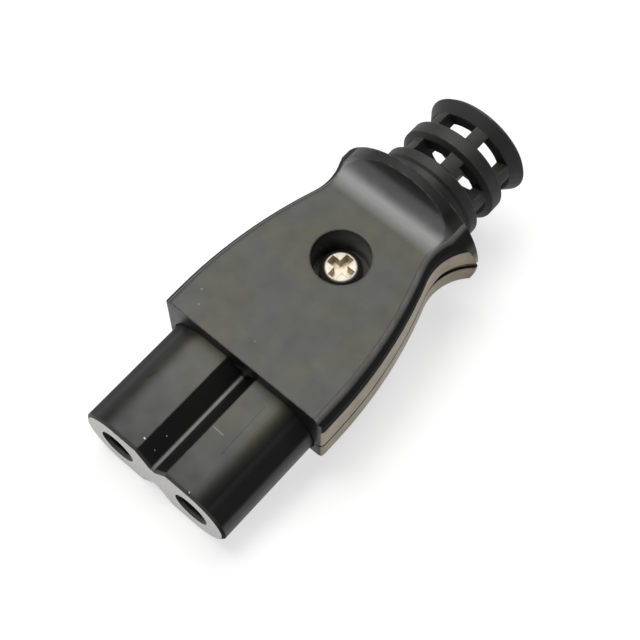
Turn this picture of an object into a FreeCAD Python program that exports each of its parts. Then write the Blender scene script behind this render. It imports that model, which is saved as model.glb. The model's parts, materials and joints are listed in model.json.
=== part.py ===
import FreeCAD, Part
import math
import os

Vector = FreeCAD.Vector

# A rewireable figure-eight appliance connector. Sizes are in millimetres.
# The origin is the middle of the nose's mating face. +Y runs from the nose to the cord,
# +Z is up, and the two covers part at z = 0.

# Nose block
pin_spacing = 8.6
lobe_radius = 3.75
nose_length = 11.3
key_groove_half_width = 1.64
key_groove_depth = 1.78
key_groove_floor = 0.3
nose_edge = 0.25
nose_held_length = 4.7
socket_mouth_radius = 1.5
socket_lead_in = 0.3
socket_wall = 1.4
contact_room_radius = 2.0
catch_groove_inset = 2.1
catch_groove_width = 1.2
catch_groove_depth = 0.8
shelf_length = 4.8
shelf_thickness = 1.4
barrier_half_width = 0.8
barrier_length = 4.3
barrier_height = 2.5

# Contacts and their terminals
pin_radius = 1.2
contact_sheet = 0.45
contact_length = 9.5
contact_slit = 0.5
tail_half_width = 0.9
terminal_spacing = 8.0
terminal_pad_width = 3.8
terminal_pad_length = 4.4
terminal_thread_radius = 1.25
terminal_head_radius = 1.8
terminal_head_height = 1.2
terminal_slot_width = 0.5
terminal_slot_depth = 0.6
terminal_screw_length = 2.6
washer_radius = 1.85
washer_thickness = 0.4

# Covers: plan
cover_half_width = 9.0
cover_length = 22.6
front_corner = 0.5
side_straight = 2.1
waist_to_rear = 4.1
waist_half_width = 6.28
waist_radius = 5.0
cover_wall = 1.2

# Covers: section
cover_top = 5.465
bevel_height = 1.05
bevel_width = 0.6
edge_height = 0.15
edge_width = 0.2
seam_height = 0.25
seam_depth = 0.25
hull_bevel_width = 2.5
hull_bevel_height = 3.4

# Rear collar
collar_radius = 8.05
flare_to_rear = 3.7
flare_radius = 2.75
collar_gap_to_rear = 4.4
collar_gap_height = 0.85
collar_gap_depth = 0.7
collar_gap_slope = 1.4
chamber_to_rear = 3.9
cord_passage_radius = 3.7

# Case screw and nut
case_screw_inset = 12.94
counterbore_radius = 2.71
counterbore_depth = 3.6
boss_wall = 0.9
case_head_radius = 1.95
case_head_height = 1.8
case_head_crown = 0.55
case_thread_radius = 1.25
case_screw_reach = 6.6
recess_length = 2.5
recess_width = 0.8
recess_depth = 1.0
nut_flats = 5.0
nut_thickness = 2.0
nut_pocket_depth = 2.2
nut_boss_wall = 0.7

# Cord grip ribs inside the covers
grip_rib_to_rear = 5.7
grip_rib_thickness = 0.8
grip_radius = 2.8

# Cord boot
boot_bore_radius = 3.4
boot_flange_radius = 4.9
boot_flange_to_rear = 2.3
boot_flange_thickness = 1.2
boot_neck_radius = 4.2
boot_base_radius = 5.1
boot_base_length = 2.0
boot_ring_radius = 5.3
boot_ring_shoulder = 0.35
boot_web_radius = 4.7
boot_first_ring_length = 1.65
boot_ring_length = 2.0
boot_window_length = 1.6
boot_window_rows = 2
boot_windows_per_row = 6
boot_web_angle = 18.0
boot_roll = 12.5
boot_end_length = 1.4
boot_end_radius = 5.5
boot_end_edge = 0.3
boot_mouth_round = 0.8

# Clearances
nose_clearance = 0.1
screw_clearance = 0.2
thread_clearance = 0.05
nut_clearance = 0.1
boot_clearance = 0.1
contact_clearance = 0.1
boss_clearance = 0.2

# Room past a face for a cut that goes through it
beyond = 1.0

# Places that follow from the sizes above
cover_front = nose_length
cover_rear = cover_front + cover_length
nose_rear = nose_length + nose_held_length
catch_groove_start = cover_front + catch_groove_inset
taper_start = cover_front + side_straight
case_screw_y = cover_front + case_screw_inset
grip_rib_y = cover_rear - grip_rib_to_rear
waist_y = cover_rear - waist_to_rear
chamber_end = cover_rear - chamber_to_rear
flare_start = cover_rear - flare_to_rear
gap_start = cover_rear - collar_gap_to_rear
boot_flange_start = cover_rear - boot_flange_to_rear
bevel_base = cover_top - bevel_height
bevel_top = cover_top - edge_height
hull_lip = cover_top - hull_bevel_height
hull_lean = math.atan2(hull_bevel_width, hull_bevel_height)
taper_length = waist_y - taper_start
taper_depth = cover_half_width - waist_half_width
side_radius = (taper_length ** 2 + taper_depth ** 2) / (2 * taper_depth) - waist_radius
contact_radius = pin_radius + contact_sheet
shelf_half_width = (terminal_spacing + terminal_pad_width) / 2
shelf_top = -contact_radius
pad_top = shelf_top + 2 * contact_sheet
pad_start = nose_rear + contact_clearance
terminal_y = pad_start + terminal_pad_length / 2
head_seat = cover_top - counterbore_depth
nut_seat = nut_pocket_depth - cover_top
nut_boss_radius = (nut_flats / 2 + nut_clearance) / math.cos(math.radians(30)) + nut_boss_wall
boss_radius = counterbore_radius + boss_wall


def box(x0, x1, y0, y1, z0, z1):
    return Part.makeBox(x1 - x0, y1 - y0, z1 - z0, Vector(x0, y0, z0))


def rod_y(radius, y0, y1, x=0.0):
    """Round bar along Y."""
    return Part.makeCylinder(radius, y1 - y0, Vector(x, y0, 0), Vector(0, 1, 0))


def rod_z(radius, z0, z1, x, y):
    """Round bar along Z."""
    return Part.makeCylinder(radius, z1 - z0, Vector(x, y, z0), Vector(0, 0, 1))


def line(a, b):
    return Part.LineSegment(a, b).toShape()


def arc(a, b, c):
    return Part.Arc(a, b, c).toShape()


def prism(wire, direction):
    return Part.Face(wire).extrude(direction)


def turned(profile):
    """Solid of revolution about the Y axis, from a closed profile of (y, radius) points."""
    points = [Vector(radius, y, 0) for y, radius in profile]
    wire = Part.makePolygon(points + points[:1])
    return Part.Face(wire).revolve(Vector(0, 0, 0), Vector(0, 1, 0), 360)


def nose_outline(y):
    """Section of the nose: two round lobes with a V groove between them, above and below."""
    lobe_x = pin_spacing / 2
    floor_x = key_groove_floor / 2
    floor_z = lobe_radius - key_groove_depth

    def at(x, z):
        return Vector(x, y, z)

    def groove(side):
        top = side * lobe_radius
        floor = side * floor_z
        return [
            line(at(-side * lobe_x, top), at(-side * key_groove_half_width, top)),
            line(at(-side * key_groove_half_width, top), at(-side * floor_x, floor)),
            line(at(-side * floor_x, floor), at(side * floor_x, floor)),
            line(at(side * floor_x, floor), at(side * key_groove_half_width, top)),
            line(at(side * key_groove_half_width, top), at(side * lobe_x, top)),
        ]

    def lobe(side):
        return arc(at(side * lobe_x, side * lobe_radius), at(side * (lobe_x + lobe_radius), 0),
                   at(side * lobe_x, -side * lobe_radius))

    return Part.Wire(groove(1) + [lobe(1)] + groove(-1) + [lobe(-1)])


def socket_axes():
    return (-pin_spacing / 2, pin_spacing / 2)


def make_nose_block():
    front = nose_outline(0).makeOffset2D(-nose_edge, 2)
    edge = nose_outline(nose_edge)
    block = Part.makeLoft([front, edge], True, True)
    block = block.fuse(prism(edge, Vector(0, nose_rear - nose_edge, 0)))
    reach = pin_spacing / 2 + lobe_radius + beyond
    catch_end = catch_groove_start + catch_groove_width
    catch_floor = lobe_radius - catch_groove_depth
    for low, high in ((catch_floor, lobe_radius + beyond), (-lobe_radius - beyond, -catch_floor)):
        block = block.cut(box(-reach, reach, catch_groove_start, catch_end, low, high))
    shelf_bottom = shelf_top - shelf_thickness
    below = shelf_bottom - beyond
    above = shelf_top + beyond
    shelf = box(-shelf_half_width, shelf_half_width, nose_rear, nose_rear + shelf_length,
                shelf_bottom, shelf_top)
    barrier = box(-barrier_half_width, barrier_half_width, nose_rear, nose_rear + barrier_length,
                  shelf_bottom, barrier_height)
    boss_room = rod_z(nut_boss_radius + boss_clearance, below, above, 0, case_screw_y)
    block = block.fuse([shelf.cut(boss_room), barrier])
    for x in socket_axes():
        mouth = rod_y(socket_mouth_radius, -beyond, socket_wall + beyond, x)
        lead_in = Part.makeCone(socket_mouth_radius + socket_lead_in, socket_mouth_radius, socket_lead_in,
                                Vector(x, 0, 0), Vector(0, 1, 0))
        room = rod_y(contact_room_radius, socket_wall, nose_rear, x)
        block = block.cut([mouth, lead_in, room])
    for side in (-1, 1):
        screw_room = rod_z(terminal_thread_radius + screw_clearance, below, above,
                           side * terminal_spacing / 2, terminal_y)
        block = block.cut(screw_room)
    return block.removeSplitter()


def make_contact(side):
    """Slit sleeve that grips a pin, with a tail strip and a tapped terminal pad of doubled sheet."""
    x = side * pin_spacing / 2
    start = socket_wall
    end = start + contact_length
    sleeve = rod_y(contact_radius, start, end, x)
    tail = box(x - tail_half_width, x + tail_half_width, end - contact_sheet, pad_start + contact_sheet,
               shelf_top, shelf_top + contact_sheet)
    pad_x = side * terminal_spacing / 2
    half = terminal_pad_width / 2
    pad = box(pad_x - half, pad_x + half, pad_start, pad_start + terminal_pad_length, shelf_top, pad_top)
    contact = sleeve.fuse([tail, pad])
    bore = rod_y(pin_radius, start - beyond, end + beyond, x)
    slit = box(x - contact_slit / 2, x + contact_slit / 2, start - beyond, end + beyond,
               0, contact_radius + beyond)
    thread = rod_z(terminal_thread_radius, shelf_top - beyond, pad_top + beyond, pad_x, terminal_y)
    return contact.cut([bore, slit, thread]).removeSplitter()


def make_terminal_washer(side):
    x = side * terminal_spacing / 2
    ring = rod_z(washer_radius, pad_top, pad_top + washer_thickness, x, terminal_y)
    hole = rod_z(terminal_thread_radius + thread_clearance, pad_top - beyond,
                 pad_top + washer_thickness + beyond, x, terminal_y)
    return ring.cut(hole)


def make_terminal_screw(side):
    x = side * terminal_spacing / 2
    seat = pad_top + washer_thickness
    top = seat + terminal_head_height
    head = rod_z(terminal_head_radius, seat, top, x, terminal_y)
    shank = rod_z(terminal_thread_radius - thread_clearance, seat - terminal_screw_length, seat,
                  x, terminal_y)
    reach = terminal_head_radius + beyond
    half_slot = terminal_slot_width / 2
    slot = box(x - reach, x + reach, terminal_y - half_slot, terminal_y + half_slot,
               top - terminal_slot_depth, top + beyond)
    return head.fuse(shank).cut(slot).removeSplitter()


def cover_outline(inset, z, corner):
    """Plan of the covers at height z, inset from the outer wall, run on straight past the rear."""
    half = cover_half_width - inset
    side_r = side_radius - inset
    waist_r = waist_radius + inset
    side_x = cover_half_width - side_radius
    waist_x = waist_half_width + waist_radius
    turn = math.atan2(taper_length, waist_x - side_x)
    rear_turn = math.asin((cover_rear - waist_y) / waist_r)

    def at(x, y):
        return Vector(x, y, z)

    def on_side(angle):
        return at(side_x + side_r * math.cos(angle), taper_start + side_r * math.sin(angle))

    def on_waist(angle):
        return at(waist_x - waist_r * math.cos(angle), waist_y - waist_r * math.sin(angle))

    rear = on_waist(-rear_turn)
    past_rear = at(rear.x + beyond * math.tan(rear_turn), rear.y + beyond)
    side = [
        line(at(half, cover_front + corner), on_side(0)),
        arc(on_side(0), on_side(turn / 2), on_side(turn)),
        arc(on_waist(turn), on_waist((turn - rear_turn) / 2), rear),
        line(rear, past_rear),
    ]
    if corner:
        diagonal = corner * math.sqrt(0.5)
        middle = at(half - corner + diagonal, cover_front + corner - diagonal)
        side.insert(0, arc(at(half - corner, cover_front), middle, at(half, cover_front + corner)))
    other_side = [edge.mirror(Vector(0, 0, 0), Vector(1, 0, 0)) for edge in side]
    front_x = half - corner
    ends = [
        line(at(-front_x, cover_front), at(front_x, cover_front)),
        line(past_rear, at(-past_rear.x, past_rear.y)),
    ]
    return Part.Wire(Part.__sortEdges__(ends[:1] + side + ends[1:] + other_side[::-1]))


def cover_prism(inset, z0, z1, corner=front_corner):
    return prism(cover_outline(inset, z0, corner), Vector(0, 0, z1 - z0))


def side_profile(points_and_arcs):
    """Prism across the covers from edges drawn in the plane x = 0."""
    reach = cover_half_width + beyond
    wire = Part.Wire(points_and_arcs)
    wire.translate(Vector(-reach, 0, 0))
    return prism(wire, Vector(2 * reach, 0, 0))


def rear_envelope():
    """Everything ahead of the waist, and the round collar behind it."""
    reach = cover_half_width + beyond
    ahead = box(-reach, reach, cover_front, waist_y, -reach, reach)
    return ahead.fuse(rod_y(collar_radius, waist_y, cover_rear))


def flare_points(side):
    """Start, middle and end of the hollow from the flat top or bottom out to the collar's rim."""
    turn = math.acos(1 - (collar_radius - cover_top) / flare_radius)

    def on_flare(angle):
        y = flare_start + flare_radius * math.sin(angle)
        return Vector(0, y, side * (cover_top + flare_radius * (1 - math.cos(angle))))

    return on_flare(0), on_flare(turn / 2), on_flare(turn)


def upper_outside():
    """Flat top with softened, bevelled sides, swept up into the collar by a hollow straight across."""
    crest = collar_radius + beyond
    rise = (crest - bevel_base) / (bevel_top - bevel_base)
    seam = cover_prism(seam_depth, 0, seam_height)
    wall = cover_prism(0, seam_height, bevel_base)
    sharp = cover_outline(0, bevel_base, 0)
    upper_edge = cover_outline(bevel_width, bevel_top, 0)
    rim = cover_outline(bevel_width + edge_width, cover_top, 0)
    flat_bevel = Part.makeLoft([sharp, upper_edge, rim], True, True)
    far_edge = cover_outline(bevel_width * rise, crest, 0)
    tall_bevel = Part.makeLoft([sharp, far_edge], True, True)
    start, middle, end = flare_points(1)
    foot = Vector(0, flare_start, bevel_base)
    rear_foot = Vector(0, cover_rear, bevel_base)
    rear_crest = Vector(0, cover_rear, crest)
    over_end = Vector(0, end.y, crest)
    hollow = side_profile([
        line(foot, start),
        arc(start, middle, end),
        line(end, over_end),
        line(over_end, rear_crest),
        line(rear_crest, rear_foot),
        line(rear_foot, foot),
    ])
    corners = cover_prism(0, bevel_base, crest)
    upper = flat_bevel.fuse(tall_bevel.common(hollow)).common(corners)
    outside = wall.fuse([seam, upper]).common(rear_envelope())
    return outside.cut(collar_gap()).removeSplitter()


def collar_gap():
    """Groove that widens the parting line where the sides sweep out to the collar."""
    past_rear = cover_rear + beyond
    points = [
        Vector(0, gap_start, seam_height),
        Vector(0, gap_start + collar_gap_slope, collar_gap_height),
        Vector(0, past_rear, collar_gap_height),
        Vector(0, past_rear, seam_height),
    ]
    band = side_profile([line(a, b) for a, b in zip(points, points[1:] + points[:1])])
    return band.cut(cover_prism(collar_gap_depth, 0, collar_gap_height + beyond))


def hull(inset, depth):
    """Half with bevelled lower edges, inset from the lower cover's outer wall, down to a depth."""
    lip = hull_lip - inset * math.tan(hull_lean / 2)
    bevel = (depth - lip) * math.tan(hull_lean)
    deck = cover_prism(inset, -lip, 0, 0)
    keel = Part.makeLoft([cover_outline(inset, -lip, 0), cover_outline(inset + bevel, -depth, 0)], True, True)
    return deck.fuse(keel).removeSplitter()


def lower_outside():
    """Hull with bevels along its sides and bow, swept down into the collar."""
    crest = collar_radius + beyond
    body = hull(0, crest).common(cover_prism(0, -crest, 0))
    deck = Vector(0, cover_front, 0)
    lip = Vector(0, cover_front, -hull_lip)
    keel = Vector(0, cover_front + hull_bevel_width, -cover_top)
    start, middle, end = flare_points(-1)
    rim = Vector(0, end.y, -crest)
    stern = Vector(0, cover_rear, -crest)
    stern_deck = Vector(0, cover_rear, 0)
    profile = side_profile([
        line(deck, lip),
        line(lip, keel),
        line(keel, start),
        arc(start, middle, end),
        line(end, rim),
        line(rim, stern),
        line(stern, stern_deck),
        line(stern_deck, deck),
    ])
    return body.common(profile).common(rear_envelope()).removeSplitter()


def shared_room():
    """What both covers leave free: the nose's seat, the cord's passage and the boot's seat."""
    reach = cover_half_width + beyond
    seat_start = cover_front - beyond
    seat_outline = nose_outline(seat_start).makeOffset2D(nose_clearance, 2)
    seat = prism(seat_outline, Vector(0, nose_rear - seat_start, 0))
    rib_start = catch_groove_start + nose_clearance
    rib_end = catch_groove_start + catch_groove_width - nose_clearance
    rib_tip = lobe_radius - catch_groove_depth + nose_clearance
    seat = seat.cut([box(-reach, reach, rib_start, rib_end, rib_tip, reach),
                     box(-reach, reach, rib_start, rib_end, -reach, -rib_tip)])
    flange_end = boot_flange_start + boot_flange_thickness
    passage = rod_y(cord_passage_radius, chamber_end - beyond, boot_flange_start)
    flange_seat = rod_y(boot_flange_radius + boot_clearance, boot_flange_start - boot_clearance,
                        flange_end + boot_clearance)
    neck_seat = rod_y(boot_neck_radius + boot_clearance, flange_end, cover_rear + beyond)
    return seat.fuse([passage, flange_seat, neck_seat])


def chamber_span(shape):
    """Part of an inset shape that lies between the nose's seat and the collar."""
    reach = cover_half_width + beyond
    return shape.common(box(-reach, reach, nose_rear, chamber_end, -reach, reach))


def grip_rib(chamber, y):
    """Rib that fills the chamber's section at y, apart from a round notch for the cord."""
    reach = cover_half_width + beyond
    slab = box(-reach, reach, y, y + grip_rib_thickness, -reach, reach)
    return chamber.common(slab).cut(rod_y(grip_radius, y - beyond, y + grip_rib_thickness + beyond))


def make_upper_cover():
    chamber = chamber_span(cover_prism(cover_wall, 0, cover_top - cover_wall))
    shell = upper_outside().cut([chamber, shared_room()])
    boss = rod_z(boss_radius, 0, cover_top - cover_wall, 0, case_screw_y)
    shell = shell.fuse([boss, grip_rib(chamber, grip_rib_y)])
    counterbore = rod_z(counterbore_radius, head_seat, cover_top + beyond, 0, case_screw_y)
    screw_hole = rod_z(case_thread_radius + screw_clearance, -beyond, head_seat + beyond, 0, case_screw_y)
    return shell.cut([counterbore, screw_hole]).removeSplitter()


def hexagon(flats, z):
    corner = flats / 2 / math.cos(math.radians(30))
    points = []
    for step in range(7):
        angle = math.radians(60 * step)
        points.append(Vector(corner * math.cos(angle), case_screw_y + corner * math.sin(angle), z))
    return Part.makePolygon(points)


def make_lower_cover():
    chamber = chamber_span(hull(cover_wall, cover_top - cover_wall))
    shell = lower_outside().cut([chamber, shared_room()])
    boss = rod_z(nut_boss_radius, cover_wall - cover_top, 0, 0, case_screw_y)
    shell = shell.fuse([boss, grip_rib(chamber, grip_rib_y + grip_rib_thickness)])
    pocket_outline = hexagon(nut_flats + 2 * nut_clearance, -cover_top - beyond)
    pocket = prism(pocket_outline, Vector(0, 0, nut_pocket_depth + beyond))
    screw_hole = rod_z(case_thread_radius + screw_clearance, -cover_top, beyond, 0, case_screw_y)
    return shell.cut([pocket, screw_hole]).removeSplitter()


def make_case_screw():
    """Pan head with a cross recess, seated on the counterbore's floor."""
    top = head_seat + case_head_height
    rim = top - case_head_crown
    crown = Part.makeCone(case_head_radius, case_head_radius - case_head_crown, case_head_crown,
                          Vector(0, case_screw_y, rim))
    head = rod_z(case_head_radius, head_seat, rim, 0, case_screw_y).fuse(crown)
    shank = rod_z(case_thread_radius - thread_clearance, head_seat - case_screw_reach, head_seat,
                  0, case_screw_y)
    screw = head.fuse(shank)
    half_length = recess_length / 2
    half_width = recess_width / 2
    floor = top - recess_depth
    cross = []
    for x, y in ((half_length, half_width), (half_width, half_length)):
        cross.append(box(-x, x, case_screw_y - y, case_screw_y + y, floor, top + beyond))
    return screw.cut(cross).removeSplitter()


def make_case_nut():
    body = prism(hexagon(nut_flats, nut_seat - nut_thickness), Vector(0, 0, nut_thickness))
    thread = rod_z(case_thread_radius, nut_seat - nut_thickness - beyond, nut_seat + beyond, 0, case_screw_y)
    return body.cut(thread)


def boot_window(y, middle_angle):
    """Wedge that opens the boot's wall between two webs."""
    reach = boot_ring_radius + beyond
    half_angle = math.radians(360 / boot_windows_per_row - boot_web_angle) / 2
    points = [Vector(0, y, 0)]
    for angle in (-half_angle, half_angle):
        points.append(Vector(math.sin(angle) * reach, y, math.cos(angle) * reach))
    wedge = prism(Part.makePolygon(points + points[:1]), Vector(0, boot_window_length, 0))
    wedge.rotate(Vector(0, 0, 0), Vector(0, 1, 0), middle_angle)
    return wedge


def make_cord_boot():
    """Ringed sleeve held by its inner flange, with rows of windows between webs and a flared end."""
    flange_end = boot_flange_start + boot_flange_thickness
    first_ring = cover_rear + boot_base_length
    y = first_ring + boot_first_ring_length
    profile = [
        (boot_flange_start, 0),
        (boot_flange_start, boot_flange_radius),
        (flange_end, boot_flange_radius),
        (flange_end, boot_neck_radius),
        (cover_rear, boot_neck_radius),
        (cover_rear, boot_base_radius),
        (first_ring, boot_base_radius),
        (first_ring + boot_ring_shoulder, boot_ring_radius),
        (y - boot_ring_shoulder, boot_ring_radius),
    ]
    window_starts = []
    for row in range(boot_window_rows):
        window_starts.append(y)
        profile.append((y, boot_web_radius))
        y += boot_window_length
        profile.append((y, boot_web_radius))
        if row < boot_window_rows - 1:
            profile.append((y + boot_ring_shoulder, boot_ring_radius))
            y += boot_ring_length
            profile.append((y - boot_ring_shoulder, boot_ring_radius))
    boot_end = y + boot_end_length
    profile += [
        (boot_end - boot_end_edge, boot_end_radius),
        (boot_end, boot_end_radius - boot_end_edge),
        (boot_end, 0),
    ]
    boot = turned(profile)
    windows = []
    spacing = 360 / boot_windows_per_row
    for start in window_starts:
        for number in range(boot_windows_per_row):
            windows.append(boot_window(start, boot_roll + (number + 0.5) * spacing))
    bore = rod_y(boot_bore_radius, boot_flange_start - beyond, boot_end + beyond)
    mouth = Part.makeCone(boot_bore_radius, boot_bore_radius + boot_mouth_round, boot_mouth_round,
                          Vector(0, boot_end - boot_mouth_round, 0), Vector(0, 1, 0))
    return boot.cut(windows + [bore, mouth]).removeSplitter()


pieces = {
    "nose_block": make_nose_block(),
    "left_contact": make_contact(-1),
    "right_contact": make_contact(1),
    "left_terminal_washer": make_terminal_washer(-1),
    "right_terminal_washer": make_terminal_washer(1),
    "left_terminal_screw": make_terminal_screw(-1),
    "right_terminal_screw": make_terminal_screw(1),
    "upper_cover": make_upper_cover(),
    "lower_cover": make_lower_cover(),
    "case_screw": make_case_screw(),
    "case_nut": make_case_nut(),
    "cord_boot": make_cord_boot(),
}

os.makedirs("parts", exist_ok=True)
for name, shape in pieces.items():
    solids = shape.Solids
    print(name, "valid", shape.isValid(), "solids", len(solids), "volume", round(shape.Volume, 2))
    shape.exportStep("parts/" + name + ".step")
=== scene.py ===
"""Looks of a figure-eight appliance connector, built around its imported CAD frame."""
import json
import math

import bpy
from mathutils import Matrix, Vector


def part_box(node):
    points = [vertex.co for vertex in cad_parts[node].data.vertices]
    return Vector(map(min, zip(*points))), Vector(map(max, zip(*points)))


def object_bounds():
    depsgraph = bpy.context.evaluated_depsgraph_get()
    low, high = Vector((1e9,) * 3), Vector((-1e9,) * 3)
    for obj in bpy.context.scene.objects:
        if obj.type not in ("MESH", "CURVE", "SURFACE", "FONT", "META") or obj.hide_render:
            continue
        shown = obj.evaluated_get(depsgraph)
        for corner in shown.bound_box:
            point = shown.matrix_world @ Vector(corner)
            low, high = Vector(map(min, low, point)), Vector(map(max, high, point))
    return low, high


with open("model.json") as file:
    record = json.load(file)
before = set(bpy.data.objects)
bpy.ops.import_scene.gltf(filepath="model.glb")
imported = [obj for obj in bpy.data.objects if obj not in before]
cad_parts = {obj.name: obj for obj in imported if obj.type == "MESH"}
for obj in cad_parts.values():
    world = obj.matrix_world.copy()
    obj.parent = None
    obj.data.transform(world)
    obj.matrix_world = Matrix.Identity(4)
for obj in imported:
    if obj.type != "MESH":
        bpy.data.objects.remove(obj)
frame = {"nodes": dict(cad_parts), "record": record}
cad_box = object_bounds()
nodes = frame["nodes"]

MM = 0.001

# Camera at the photo's place
CAMERA_AZIMUTH = 41.084
CAMERA_ELEVATION = 64.706
CAMERA_DISTANCE = 135.256 * MM
CAMERA_TARGET = Vector((1.805, 19.371, 3.0)) * MM
CAMERA_LENS = 87.64
CAMERA_CLIP = 0.01
SENSOR_WIDTH = 36.0

# Floor: radius and rise of its rings, its paper, and the search for the slope of the part's rest
FLOOR_RINGS = ((0.8, 0.0), (1.1, 0.1), (1.35, 0.3), (1.5, 0.6))
FLOOR_SIDES = 48
FLOOR_COLOR = (0.36, 0.36, 0.357, 1.0)
FLOOR_ROUGHNESS = 0.9
STEEPEST_REST = 0.5
SLOPE_TOLERANCE = 1e-6

# Floor's glow: the distances between which it grows, and its strength at each
GLOW_REACH = (0.1, 0.5)
GLOW_STRENGTH = (0.68, 1.0)
GLOW_COLOR = (1.0, 1.0, 1.0, 1.0)

# Lights: direction from the part, diameter and power of each lamp
LAMPS = {
    "softbox": (Vector((-0.3, 0.33, 0.895)), 0.56, 3.1),
    "small_softbox": (Vector((-0.285, -0.07, 0.956)), 0.233, 1.35),
    "front_fill": (Vector((-0.25, -0.9, 0.3)), 0.56, 1.5),
}
LAMP_DISTANCE = 0.6
WORLD_COLOR = (0.06, 0.06, 0.06, 1.0)

# Colours
BLACK_PLASTIC = (0.003, 0.003, 0.0029, 1.0)
FADED_PLASTIC = (0.007, 0.0069, 0.0064, 1.0)
BOOT_PLASTIC = (0.010, 0.010, 0.010, 1.0)
BOOT_FADED = (0.018, 0.0178, 0.017, 1.0)
# film of dust that also stands in for the sheen of the lit tops: painted sheen
DUST_AND_SHEEN = (0.16, 0.158, 0.15, 1.0)
OLIVE_DUST_AND_SHEEN = (0.2, 0.195, 0.085, 1.0)
# beige film of dust on the side walls, which also paints the pale floor's reflection
WALL_DUST_AND_REFLECTION = (0.78, 0.64, 0.44, 1.0)
# painted highlight in the flare's hollow and along the bottom of the key groove
PAINTED_HIGHLIGHT_GREY = (0.3, 0.3, 0.305, 1.0)
BORE_FILM = (0.26, 0.269, 0.254, 1.0)
SPECK = (0.62, 0.61, 0.58, 1.0)
WORN_EDGE = (0.10, 0.098, 0.092, 1.0)
# paler upper edge of the casing's bevel
PALE_BEVEL_TOP = (0.17, 0.167, 0.158, 1.0)
# painted reflection of the bright floor on the nose's front face
PAINTED_FRONT_REFLECTION = (0.85, 0.84, 0.82, 1.0)
SCRATCHED = (0.004, 0.004, 0.004, 1.0)
BRASS = (0.72, 0.5, 0.2, 1.0)
DULL_BRASS = (0.5, 0.32, 0.12, 1.0)
ZINC = (0.62, 0.6, 0.56, 1.0)
DULL_ZINC = (0.42, 0.38, 0.3, 1.0)
SCREW_PLATE = (0.52, 0.48, 0.4, 1.0)
SCREW_RECESS = (0.68, 0.59, 0.46, 1.0)
SCREW_TINT = (0.24, 0.13, 0.055, 1.0)
SCREW_DIRT = (0.03, 0.028, 0.024, 1.0)

# Noise: scale, detail, and the values between which it rises from none to full
GLOSS_NOISE = (500.0, 4.0, 0.3, 0.7)
DUST_AND_SHEEN_NOISE = (170.0, 2.0, 0.35, 0.65)
FADING_NOISE = (220.0, 3.0, 0.3, 0.7)
TARNISH_NOISE = (900.0, 4.0, 0.45, 0.75)
METAL_NOISE = (2500.0, 3.0, 0.3, 0.7)
SCREW_NOISE = (3000.0, 3.0, 0.3, 0.7)
TINT_NOISE = (1400.0, 3.0, 0.35, 0.6)

# Patches in which a film lies: noise scale, and the share of the film that is left between them;
# the noise's detail and values are the same for all
PATCH_NOISE = (4.0, 0.35, 0.7)
DUST_AND_SHEEN_PATCHES = (700.0, 0.7)
EDGE_PATCHES = (1500.0, 0.0)
WALL_PATCHES = (600.0, 0.7)
BEVEL_PATCHES = (900.0, 0.7)
HOLLOW_PATCHES = (500.0, 0.8)
BORE_PATCHES = (800.0, 0.7)
GROOVE_PATCHES = (900.0, 0.7)
FRONT_PATCHES = (4000.0, 0.75)
ROOT_PATCHES = (900.0, 0.4)

# Grain of a surface: noise scale, and strength and depth of the bump
PLASTIC_GRAIN = (6000.0, 0.10, 0.02 * MM)
METAL_GRAIN = (6000.0, 0.15, 0.01 * MM)
SCREW_GRAIN = (5000.0, 0.2, 0.02 * MM)

# Roughness below and above a finish's own
PLASTIC_SPREAD = (-0.04, 0.05)
METAL_SPREAD = (-0.06, 0.08)

# Edges: samples of the rounded normal, its agreement with the face's own off and on an edge, and
# its radius on metal
EDGE_SAMPLES = 6
EDGE_AGREEMENT = (0.995, 0.85)
METAL_EDGE = 0.1 * MM
SCREW_EDGE = 0.15 * MM

# Specks: cells per metre, size in a cell and share of the cells; core of a speck and of a mark
SPECKS = (420.0, 0.05, 0.25)
SPECK_CORE = 0.5
MARK_CORE = 0.4

# Plastic, and the part of the normal that points up where the film of dust and painted sheen starts
# and is full
PLASTIC_IOR = 1.38
DUST_AND_SHEEN_FACING = (0.86, 1.0)

# Casing's side walls, whose film is dust and painted reflection: facing, least distance from the
# middle, heights between which the film ends, the left wall's share of it, and the X between which
# that grows to the right wall's
WALL_UPRIGHT = (0.3, 0.15)
WALL_SIDEWAYS = (0.5, 0.8)
WALL_REACH = 5.8 * MM
WALL_FILM_TOP = (3.09 * MM, 3.21 * MM)
LEFT_FILM = 0.3
LEFT_TO_RIGHT = (-MM, MM)

# Casing's bevel: facing next to the wall and next to the top, heights between which it grows paler,
# its upper end, and the left bevel's share of the paleness
BEVEL_START = (0.3, 0.5)
BEVEL_STOP = (0.97, 0.9)
BEVEL_PALE_START, BEVEL_PALE_FULL = 4.9 * MM, 5.3 * MM
BEVEL_END = 5.47 * MM
LEFT_PALENESS = 0.1

# Painted highlight, laid as a pale film, in the hollow where the upper cover sweeps up into its
# collar: Y where the film starts, is full, fades and ends, its least height and its strength
HOLLOW = (29.1 * MM, 30.3 * MM, 30.8 * MM, 32.6 * MM)
HOLLOW_HEIGHT = 5.35 * MM
HOLLOW_STRENGTH = 0.6

# Collar's crest, towards which the film of dust and painted sheen thins out and the plastic gets
# duller
CREST_TOP, CREST_START = 7.0 * MM, 5.8 * MM
CREST_ROUGHNESS = 0.62

# Bore over the screw, whose wall's film grows downwards between two heights
BORE_RADIUS = 2.8 * MM
BORE_HEIGHTS = (5.6 * MM, 3.2 * MM)
BORE_FACING = (0.5, 0.3)

# Front of the nose, left bare of the film of dust and painted sheen: Y where the film starts to
# thin and where it is gone
BARE_FRONT = (8.5 * MM, 0.0)
BARE_FRONT_ROUGHNESS = 0.08

# Duller sides of the nose, by their facing: the left lobe's flank, and the sides that face right
# except where they are upright
LEFT_FLANK = (-0.35, -0.75)
LEFT_FLANK_ROUGHNESS = 0.75
RIGHT_SIDES = (0.35, 0.65)
RIGHT_SIDES_EDGE = (0.97, 0.88)

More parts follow.
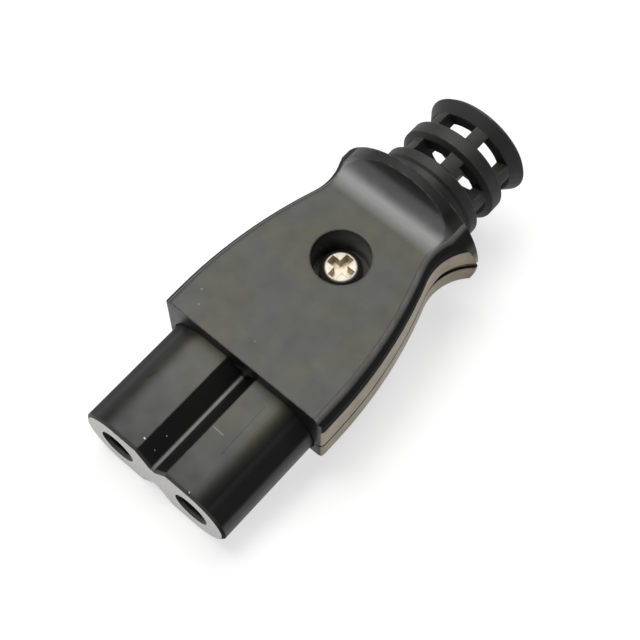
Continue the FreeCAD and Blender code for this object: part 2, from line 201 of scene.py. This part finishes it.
# Key groove: X of its left edge, and for the painted highlight at its bottom the distances from the
# middle where it ends and is full, its least facing up, its upper end and its strength
GROOVE_SIDE = -1.7 * MM
GROOVE_HIGHLIGHT = (0.26 * MM, 0.12 * MM)
GROOVE_FACING = 0.3
GROOVE_LOW = 2.6 * MM
GROOVE_STRENGTH = 0.35

# Front face of the nose painted pale: painted reflection of the bright floor
FRONT_FACING = (-0.85, -0.95)
FRONT_REACH = 0.1 * MM

# Paler film on the left of the boot's root: along Y, across X and its strength
ROOT_REACH = (36.2 * MM, 35.0 * MM)
ROOT_SIDE = (-1.5 * MM, -3.0 * MM)
ROOT_STRENGTH = 0.45

# Case screw: distances from its axis and depths below its top
RECESS_RADIUS = (1.38 * MM, 1.3 * MM)
RECESS_DEPTH = (0.01 * MM, 0.03 * MM)
TINT_DEPTH = (0.35 * MM, 0.15 * MM)
TINT_STRENGTH = (0.2, 0.9)
DIRT_RADIUS = (1.42 * MM, 1.54 * MM)
SCREW_METALLIC = 0.6
SCREW_ROUGHNESS = (0.48, 0.62)

# Marks that the photo shows on the nose and the upper cover: start and end in mm, half width in mm
FAINT_MARKS = (
    ((1.85, 5.83, 3.75), (2.91, 5.80, 3.75), 0.07),
    ((-6.27, 12.8, 5.465), (-6.20, 12.86, 5.465), 0.08),
    ((-0.30, 13.35, 5.465), (-0.24, 13.4, 5.465), 0.07),
    ((-0.72, 11.3, 3.47), (1.32, 11.3, 3.88), 0.07),
    ((-7.06, 14.0, 5.465), (-6.98, 14.1, 5.465), 0.09),
)
FAINT_STRENGTH = 0.2
PALE_MARKS = (
    ((-1.86, 1.30, 3.75), (-1.76, 1.28, 3.75), 0.08),
    ((-0.87, 2.85, 2.83), (-0.82, 2.88, 2.83), 0.07),
    ((-0.79, 1.30, 2.73), (-0.74, 1.28, 2.73), 0.06),
    ((4.20, 0.28, 3.75), (4.26, 0.26, 3.75), 0.06),
)
DARK_MARKS = (
    ((3.99, 4.38, 3.75), (3.91, 6.2, 3.75), 0.09),
    ((3.91, 6.2, 3.75), (3.85, 9.99, 3.75), 0.07),
    ((-5.59, 5.46, 3.521), (-5.2, 6.5, 3.64), 0.08),
)

# Sockets of Blender's Mix node in its colour mode
MIX_FACTOR, MIX_FIRST, MIX_SECOND = 0, 6, 7
MIX_RESULT = 2


class Finish:
    """Node tree of one material, with short calls for the nodes that the finishes share."""

    def __init__(self, name):
        self.material = bpy.data.materials.new(name)
        self.material.use_nodes = True
        self.tree = self.material.node_tree
        self.tree.nodes.clear()
        output = self.tree.nodes.new("ShaderNodeOutputMaterial")
        self.surface = self.tree.nodes.new("ShaderNodeBsdfPrincipled")
        self.tree.links.new(self.surface.outputs["BSDF"], output.inputs["Surface"])
        self.place = self.tree.nodes.new("ShaderNodeTexCoord").outputs["Object"]
        self.facing = self.tree.nodes.new("ShaderNodeNewGeometry").outputs["Normal"]

    def feed(self, socket, value):
        """Links another node's output to a socket, or sets the socket's own value."""
        if isinstance(value, bpy.types.NodeSocket):
            self.tree.links.new(value, socket)
        else:
            socket.default_value = value

    def node(self, kind, inputs, **settings):
        made = self.tree.nodes.new(kind)
        for key, value in settings.items():
            setattr(made, key, value)
        for key, value in inputs.items():
            self.feed(made.inputs[key], value)
        return made

    def set(self, **inputs):
        """Feeds the surface's sockets, whose names are written with _ for a space."""
        for key, value in inputs.items():
            self.feed(self.surface.inputs[key.replace("_", " ")], value)

    def span(self, value, low, high, first=0.0, last=1.0):
        """Maps a range of a value onto another range, clamped."""
        inputs = {
            "Value": value, "From Min": low, "From Max": high, "To Min": first, "To Max": last,
        }
        return self.node("ShaderNodeMapRange", inputs).outputs["Result"]

    def math(self, operation, a, b=0.0, clamp=False):
        made = self.node("ShaderNodeMath", {0: a, 1: b}, operation=operation, use_clamp=clamp)
        return made.outputs[0]

    def both(self, first, second):
        """Mask where two masks overlap, or a mask weakened by a number."""
        return self.math("MULTIPLY", first, second)

    def inverse(self, mask):
        return self.math("SUBTRACT", 1.0, mask)

    def vector(self, operation, a, b):
        return self.node("ShaderNodeVectorMath", {0: a, 1: b}, operation=operation)

    def axis(self, vector, name):
        return self.node("ShaderNodeSeparateXYZ", {"Vector": vector}).outputs[name]

    def around(self, middle):
        """Distance from an upright axis through a point."""
        upright = Vector((1.0, 1.0, 0.0))
        flat = self.vector("MULTIPLY", self.place, upright).outputs["Vector"]
        return self.vector("DISTANCE", flat, Vector((middle.x, middle.y, 0.0))).outputs["Value"]

    def mix(self, factor, first, second):
        inputs = {MIX_FACTOR: factor, MIX_FIRST: first, MIX_SECOND: second}
        return self.node("ShaderNodeMix", inputs, data_type="RGBA").outputs[MIX_RESULT]

    def noise(self, scale, detail=2.0):
        inputs = {"Vector": self.place, "Scale": scale, "Detail": detail}
        return self.node("ShaderNodeTexNoise", inputs).outputs["Fac"]

    def blotches(self, pattern, first=0.0, last=1.0):
        """Noise that changes between two values."""
        scale, detail, low, high = pattern
        return self.span(self.noise(scale, detail), low, high, first, last)

    def grain(self, pattern, normal):
        """Fine bumps on top of a normal."""
        scale, strength, depth = pattern
        inputs = {
            "Height": self.noise(scale), "Strength": strength, "Distance": depth, "Normal": normal,
        }
        return self.node("ShaderNodeBump", inputs).outputs["Normal"]

    def soft_normal(self, radius):
        """Normal of the surface with its sharp edges rounded."""
        made = self.node("ShaderNodeBevel", {"Radius": radius}, samples=EDGE_SAMPLES)
        return made.outputs["Normal"]

    def edges(self, soft_normal):
        """Mask of the edges: where the rounded normal leaves the face's own."""
        agreement = self.vector("DOT_PRODUCT", soft_normal, self.facing).outputs["Value"]
        return self.span(agreement, *EDGE_AGREEMENT)

    def specks(self, scale, size, share):
        """Mask of small round specks, in a share of the cells of a random pattern."""
        cells = self.node("ShaderNodeTexVoronoi", {"Vector": self.place, "Scale": scale})
        spot = self.span(cells.outputs["Distance"], size, SPECK_CORE * size)
        chosen = self.math("LESS_THAN", self.axis(cells.outputs["Color"], "X"), share)
        return self.both(spot, chosen)

    def mark(self, start, end, half_width):
        """Mask of a short straight mark between two points given in mm."""
        first = Vector(start) * MM
        run = Vector(end) * MM - first
        reach = self.vector("SUBTRACT", self.place, first).outputs["Vector"]
        share = self.vector("DOT_PRODUCT", reach, run / run.length_squared).outputs["Value"]
        share = self.math("ADD", share, 0.0, clamp=True)
        nearest = self.node("ShaderNodeVectorMath", {0: run, "Scale": share}, operation="SCALE")
        off = self.vector("DISTANCE", reach, nearest.outputs["Vector"]).outputs["Value"]
        return self.span(off, half_width * MM, MARK_CORE * half_width * MM)

    def marks(self, places):
        """Mask of several marks."""
        mask = self.mark(*places[0])
        for place in places[1:]:
            mask = self.math("MAXIMUM", mask, self.mark(*place))
        return mask


class Plastic(Finish):
    """Fine-grained black plastic with worn edges, a film of dust and painted sheen on what faces
    up, and specks.
    """

    def __init__(self, name, dark, faded, roughness, film, worn_from, edge_radius):
        super().__init__(name)
        self.soft = self.soft_normal(edge_radius)
        self.across = self.axis(self.place, "X")
        self.along = self.axis(self.place, "Y")
        self.height = self.axis(self.place, "Z")
        self.sideways = self.axis(self.facing, "X")
        self.upward = self.axis(self.facing, "Z")
        glossier, duller = PLASTIC_SPREAD
        self.rough = self.blotches(GLOSS_NOISE, roughness + glossier, roughness + duller)
        self.dust_and_sheen = self.mix(self.blotches(DUST_AND_SHEEN_NOISE), DUST_AND_SHEEN, OLIVE_DUST_AND_SHEEN)
        self.color = self.mix(self.blotches(FADING_NOISE), dark, faded)
        self.bare_front = self.span(self.along, *BARE_FRONT)
        # painted sheen: the dust film on what faces up also stands in for the tops' sheen
        dust_and_sheen_mask = self.span(self.upward, *DUST_AND_SHEEN_FACING, 0.0, film)
        dust_and_sheen_mask = self.both(dust_and_sheen_mask, self.span(self.height, CREST_TOP, CREST_START))
        dust_and_sheen_mask = self.both(dust_and_sheen_mask, self.inverse(self.bare_front))
        self.cover(dust_and_sheen_mask, self.dust_and_sheen, DUST_AND_SHEEN_PATCHES)
        worn = self.math("GREATER_THAN", self.math("ABSOLUTE", self.height), worn_from)
        self.cover(self.both(self.edges(self.soft), worn), WORN_EDGE, EDGE_PATCHES)

    def cover(self, mask, color, patches):
        """Lays a colour over the finish where the mask is, thinner between patches."""
        scale, least = patches
        thickness = self.blotches((scale, *PATCH_NOISE), least, 1.0)
        self.color = self.mix(self.both(mask, thickness), self.color, color)

    def dull(self, roughness):
        """Raises the roughness to another one where that is higher."""
        self.rough = self.math("MAXIMUM", self.rough, roughness)

    def paint_wall_reflection(self):
        """Beige film of dust and painted reflection of the pale floor on the upright sides below a
        matte band.
        """
        wall = self.span(self.math("ABSOLUTE", self.upward), *WALL_UPRIGHT)
        outward = self.math("ABSOLUTE", self.across)
        wall = self.both(wall, self.math("GREATER_THAN", outward, WALL_REACH))
        wall = self.both(wall, self.span(self.math("ABSOLUTE", self.sideways), *WALL_SIDEWAYS))
        above = self.span(self.height, *WALL_FILM_TOP)
        self.dull(self.both(wall, above))
        # painted reflection: the right wall gets the full pale film, the left wall a share of it
        film = self.span(self.across, *LEFT_TO_RIGHT, LEFT_FILM, 1.0)
        film = self.both(self.inverse(above), film)
        self.cover(self.both(wall, film), WALL_DUST_AND_REFLECTION, WALL_PATCHES)

    def lighten_bevel_top(self):
        """Bevel paler towards its upper edge, and matte below."""
        bevel = self.both(self.span(self.upward, *BEVEL_START), self.span(self.upward, *BEVEL_STOP))
        bevel = self.both(bevel, self.math("LESS_THAN", self.height, BEVEL_END))
        self.dull(self.both(bevel, self.span(self.height, BEVEL_PALE_FULL, BEVEL_PALE_START)))
        paleness = self.span(self.across, *LEFT_TO_RIGHT, LEFT_PALENESS, 1.0)
        paleness = self.both(self.span(self.height, BEVEL_PALE_START, BEVEL_PALE_FULL), paleness)
        self.cover(self.both(bevel, paleness), PALE_BEVEL_TOP, BEVEL_PATCHES)

    def paint_hollow_highlight(self):
        """Painted highlight: pale film in the hollow below the collar, whose crest is duller."""
        start, full, fading, end = HOLLOW
        hollow = self.both(self.span(self.along, start, full), self.span(self.along, end, fading))
        hollow = self.both(hollow, self.math("GREATER_THAN", self.height, HOLLOW_HEIGHT))
        self.cover(self.both(hollow, HOLLOW_STRENGTH), PAINTED_HIGHLIGHT_GREY, HOLLOW_PATCHES)
        self.dull(self.span(self.height, CREST_START, CREST_TOP, 0.0, CREST_ROUGHNESS))

    def film_bore(self, middle):
        """Grey film on the wall of the bore over the screw."""
        inside = self.math("LESS_THAN", self.around(middle), BORE_RADIUS)
        inside = self.both(inside, self.span(self.height, *BORE_HEIGHTS))
        wall = self.both(inside, self.span(self.upward, *BORE_FACING))
        self.cover(wall, BORE_FILM, BORE_PATCHES)

    def dull_nose(self):
        """Less gloss on the lobes' flanks, on the groove's left wall and towards the front."""
        bare_front = self.both(self.bare_front, BARE_FRONT_ROUGHNESS)
        self.rough = self.math("ADD", self.rough, bare_front)
        left = self.math("LESS_THAN", self.across, GROOVE_SIDE)
        flank = self.span(self.sideways, *LEFT_FLANK, 0.0, LEFT_FLANK_ROUGHNESS)
        self.dull(self.both(left, flank))
        right = self.span(self.sideways, *RIGHT_SIDES)
        self.dull(self.both(right, self.span(self.sideways, *RIGHT_SIDES_EDGE)))

    def paint_groove_highlight(self):
        """Painted highlight: pale line along the bottom of the key groove."""
        bottom = self.span(self.math("ABSOLUTE", self.across), *GROOVE_HIGHLIGHT)
        bottom = self.both(bottom, self.math("GREATER_THAN", self.upward, GROOVE_FACING))
        bottom = self.both(bottom, self.math("LESS_THAN", self.height, GROOVE_LOW))
        self.cover(self.both(bottom, GROOVE_STRENGTH), PAINTED_HIGHLIGHT_GREY, GROOVE_PATCHES)

    def paint_front_reflection(self):
        """Face at the front end painted pale in patches: painted reflection of the bright floor."""
        front = self.span(self.axis(self.facing, "Y"), *FRONT_FACING)
        front = self.both(front, self.math("LESS_THAN", self.along, FRONT_REACH))
        self.cover(front, PAINTED_FRONT_REFLECTION, FRONT_PATCHES)

    def pale_root_left(self):
        """Paler film on the left of the boot's root, fading out along the cord's axis."""
        root = self.span(self.along, *ROOT_REACH, 0.0, ROOT_STRENGTH)
        self.cover(self.both(root, self.span(self.across, *ROOT_SIDE)), self.dust_and_sheen, ROOT_PATCHES)

    def scratch(self):
        """Scratches and specks at the places where the photo shows them."""
        self.color = self.mix(self.marks(DARK_MARKS), self.color, SCRATCHED)
        faint = self.both(self.marks(FAINT_MARKS), FAINT_STRENGTH)
        self.color = self.mix(faint, self.color, SPECK)
        self.color = self.mix(self.marks(PALE_MARKS), self.color, SPECK)

    def done(self):
        """Adds the specks and the grain, and gives the material."""
        self.color = self.mix(self.specks(*SPECKS), self.color, SPECK)
        self.set(
            Base_Color=self.color,
            IOR=PLASTIC_IOR,
            Roughness=self.rough,
            Normal=self.grain(PLASTIC_GRAIN, self.soft),
        )
        return self.material


def metal(name, color, stain, roughness):
    """Bare or plated metal with blotches of tarnish and a fine grain."""
    finish = Finish(name)
    glossier, duller = METAL_SPREAD
    finish.set(
        Base_Color=finish.mix(finish.blotches(TARNISH_NOISE), color, stain),
        Metallic=1.0,
        Roughness=finish.blotches(METAL_NOISE, roughness + glossier, roughness + duller),
        Normal=finish.grain(METAL_GRAIN, finish.soft_normal(METAL_EDGE)),
    )
    return finish.material


def screw_metal(name, low, high):
    """Bright plated screw in a box, with a brown tint in its recess and dirt round its head."""
    finish = Finish(name)
    off = finish.around((low + high) / 2)
    depth = finish.math("SUBTRACT", high.z, finish.axis(finish.place, "Z"))
    recess = finish.both(finish.span(off, *RECESS_RADIUS), finish.span(depth, *RECESS_DEPTH))
    tint = finish.both(recess, finish.span(depth, *TINT_DEPTH))
    tint = finish.both(tint, finish.blotches(TINT_NOISE, *TINT_STRENGTH))
    color = finish.mix(recess, SCREW_PLATE, SCREW_RECESS)
    color = finish.mix(tint, color, SCREW_TINT)
    finish.set(
        Base_Color=finish.mix(finish.span(off, *DIRT_RADIUS), color, SCREW_DIRT),
        Metallic=SCREW_METALLIC,
        Roughness=finish.blotches(SCREW_NOISE, *SCREW_ROUGHNESS),
        Normal=finish.grain(SCREW_GRAIN, finish.soft_normal(SCREW_EDGE)),
    )
    return finish.material


def casing_plastic(middle):
    """Covers' plastic, with the case screw's middle for the bore."""
    casing = Plastic(
        "casing_plastic", BLACK_PLASTIC, FADED_PLASTIC,
        roughness=0.40, film=0.23, worn_from=5.2 * MM, edge_radius=0.3 * MM,
    )
    casing.paint_wall_reflection()
    casing.lighten_bevel_top()
    casing.paint_hollow_highlight()
    casing.film_bore(middle)
    casing.scratch()
    return casing.done()


def nose_plastic():
    nose = Plastic(
        "nose_plastic", BLACK_PLASTIC, FADED_PLASTIC,
        roughness=0.38, film=0.2, worn_from=3.6 * MM, edge_radius=0.2 * MM,
    )
    nose.dull_nose()
    nose.paint_groove_highlight()
    nose.paint_front_reflection()
    nose.scratch()
    return nose.done()


def boot_plastic():
    boot = Plastic(
        "boot_plastic", BOOT_PLASTIC, BOOT_FADED,
        roughness=0.56, film=0.06, worn_from=0.0, edge_radius=0.2 * MM,
    )
    boot.pale_root_left()
    return boot.done()


def paint(node, material):
    node.data.materials.clear()
    node.data.materials.append(material)


def dress():
    """Gives each CAD node the finish of its material slot."""
    low, high = (Vector(corner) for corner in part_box("case_screw"))
    finishes = {
        "casing": casing_plastic((low + high) / 2),
        "nose": nose_plastic(),
        "boot": boot_plastic(),
        "contact_brass": metal("contact_brass", BRASS, DULL_BRASS, roughness=0.3),
        "plated_steel": metal("plated_steel", ZINC, DULL_ZINC, roughness=0.3),
        "case_screw": screw_metal("screw_metal", low, high),
    }
    for part in frame["record"]["subparts"]:
        paint(nodes[part["node"]], finishes[part["material_slot"]])


def rest_slope(points, balance):
    """Slope along Y of the plane that the part rests on, and the plane's height at the balance."""
    low, high = -STEEPEST_REST, STEEPEST_REST

    def support(slope):
        return min(z - slope * (y - balance) for y, z in points)

    while high - low > SLOPE_TOLERANCE:
        third = (high - low) / 3
        if support(low + third) < support(high - third):
            low += third
        else:
            high -= third
    return low, support(low)


def floor_mesh(balance):
    """Sheet that the part rests on, bent up far from it."""
    points = [(v.co.y, v.co.z) for node in nodes.values() for v in node.data.vertices]
    slope, height = rest_slope(points, balance)
    corners = []
    for radius, rise in FLOOR_RINGS:
        for step in range(FLOOR_SIDES):
            turn = 2 * math.pi * step / FLOOR_SIDES
            y = radius * math.sin(turn)
            corners.append((radius * math.cos(turn), balance + y, height + slope * y + rise))
    faces = [tuple(range(FLOOR_SIDES))]
    for first in range(0, len(corners) - FLOOR_SIDES, FLOOR_SIDES):
        for step in range(FLOOR_SIDES):
            a = first + step
            b = first + (step + 1) % FLOOR_SIDES
            faces.append((a, a + FLOOR_SIDES, b + FLOOR_SIDES, b))
    mesh = bpy.data.meshes.new("floor")
    mesh.from_pydata(corners, [], faces)
    return mesh


def floor_paper(balance):
    """White paper, whose glow grows as the lamps' light falls off."""
    finish = Finish("floor_paper")
    path = finish.tree.nodes.new("ShaderNodeLightPath").outputs
    seen = finish.math("MAXIMUM", path["Is Camera Ray"], path["Is Glossy Ray"])
    seen = finish.math("MAXIMUM", seen, path["Is Transmission Ray"])
    away = finish.around(Vector((0.0, balance, 0.0)))
    finish.set(
        Base_Color=FLOOR_COLOR,
        Roughness=FLOOR_ROUGHNESS,
        Specular_IOR_Level=0.0,
        Emission_Color=GLOW_COLOR,
        Emission_Strength=finish.both(seen, finish.span(away, *GLOW_REACH, *GLOW_STRENGTH)),
    )
    return finish.material


def make_floor():
    balance = sum(corner.y for corner in cad_box) / 2
    floor = bpy.data.objects.new("floor", floor_mesh(balance))
    bpy.context.scene.collection.objects.link(floor)
    paint(floor, floor_paper(balance))


def soft_lamp(name, start, size, power):
    """Round lamp that shines on the part from a direction."""
    data = bpy.data.lights.new(name, "AREA")
    data.shape = "DISK"
    data.size = size
    data.energy = power
    lamp = bpy.data.objects.new(name, data)
    direction = start.normalized()
    lamp.location = CAMERA_TARGET + direction * LAMP_DISTANCE
    lamp.rotation_mode = "QUATERNION"
    lamp.rotation_quaternion = direction.to_track_quat("Z", "Y")
    bpy.context.scene.collection.objects.link(lamp)


def make_lights():
    for name, (start, size, power) in LAMPS.items():
        soft_lamp(name, start, size, power)
    world = bpy.data.worlds.new("studio")
    bpy.context.scene.world = world
    world.use_nodes = True
    world.node_tree.nodes["Background"].inputs["Color"].default_value = WORLD_COLOR


def make_camera():
    azimuth = math.radians(CAMERA_AZIMUTH)
    elevation = math.radians(CAMERA_ELEVATION)
    back = Vector((
        math.sin(azimuth) * math.cos(elevation),
        -math.cos(azimuth) * math.cos(elevation),
        math.sin(elevation),
    ))
    data = bpy.data.cameras.new("camera")
    data.lens = CAMERA_LENS
    data.sensor_width = SENSOR_WIDTH
    data.clip_start = CAMERA_CLIP
    camera = bpy.data.objects.new("camera", data)
    camera.location = CAMERA_TARGET + back * CAMERA_DISTANCE
    camera.rotation_mode = "QUATERNION"
    camera.rotation_quaternion = (-back).to_track_quat("-Z", "Y")
    bpy.context.scene.collection.objects.link(camera)
    bpy.context.scene.camera = camera


dress()
make_floor()
make_lights()
make_camera()
bpy.context.scene.view_settings.view_transform = "Standard"
